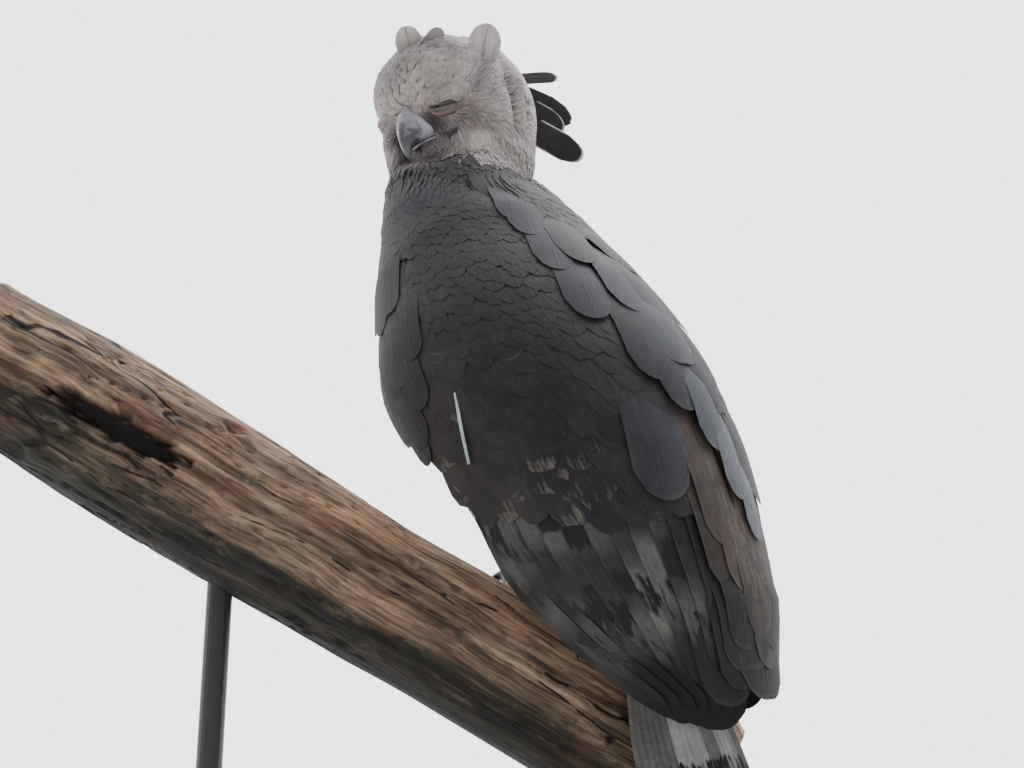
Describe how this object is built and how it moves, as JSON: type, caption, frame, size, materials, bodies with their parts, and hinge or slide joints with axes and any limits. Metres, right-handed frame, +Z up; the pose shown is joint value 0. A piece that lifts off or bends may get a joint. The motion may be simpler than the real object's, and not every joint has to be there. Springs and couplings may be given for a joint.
{
  "type": "harpy eagle on a perch",
  "caption": "Life-size harpy eagle perched on a cut length of worn branch, wings folded, head turned over its shoulder with the crest half raised, on a plain display stand.",
  "frame": {"origin": "centre of the stand base's underside, where the model rests on the floor", "axes": "+Z up, -Y towards the viewer of the picture, +X to the picture's right; the branch runs along X and rises towards -X, and the bird's back faces -Y and +X"},
  "size_m": [0.761, 0.36, 0.9546],
  "materials": {
    "slate_feathers": "matt slate-black feathers",
    "pale_grey_feathers": "soft pale grey feathers",
    "white_barred_feathers": "white feathers, the thighs barred",
    "slate_horn": "satin dark slate horn",
    "yellow_skin": "scaled yellow skin",
    "brown_eye": "wet, glossy eye",
    "weathered_wood": "bare weathered wood, cracked",
    "black_board": "black satin lacquered board",
    "black_steel": "black satin paint"
  },
  "bodies": {
    "root": {"torso": "white_barred_feathers", "neck": "slate_feathers", "head": "pale_grey_feathers", "eye_left": "brown_eye", "eye_right": "brown_eye", "bill_upper": "slate_horn", "bill_lower": "slate_horn", "wing_left": "slate_feathers", "wing_right": "slate_feathers", "tail": "slate_feathers", "thigh_left": "white_barred_feathers", "thigh_right": "white_barred_feathers", "shank_left": "yellow_skin", "shank_right": "yellow_skin", "foot_left": "yellow_skin", "foot_right": "yellow_skin", "talon_left_inner": "slate_horn", "talon_left_middle": "slate_horn", "talon_left_outer": "slate_horn", "talon_left_hind": "slate_horn", "talon_right_inner": "slate_horn", "talon_right_middle": "slate_horn", "talon_right_outer": "slate_horn", "talon_right_hind": "slate_horn", "perch_branch": "weathered_wood", "stand_base": "black_board", "stand_rod_1": "black_steel", "stand_rod_2": "black_steel"}
  },
  "joints": []
}
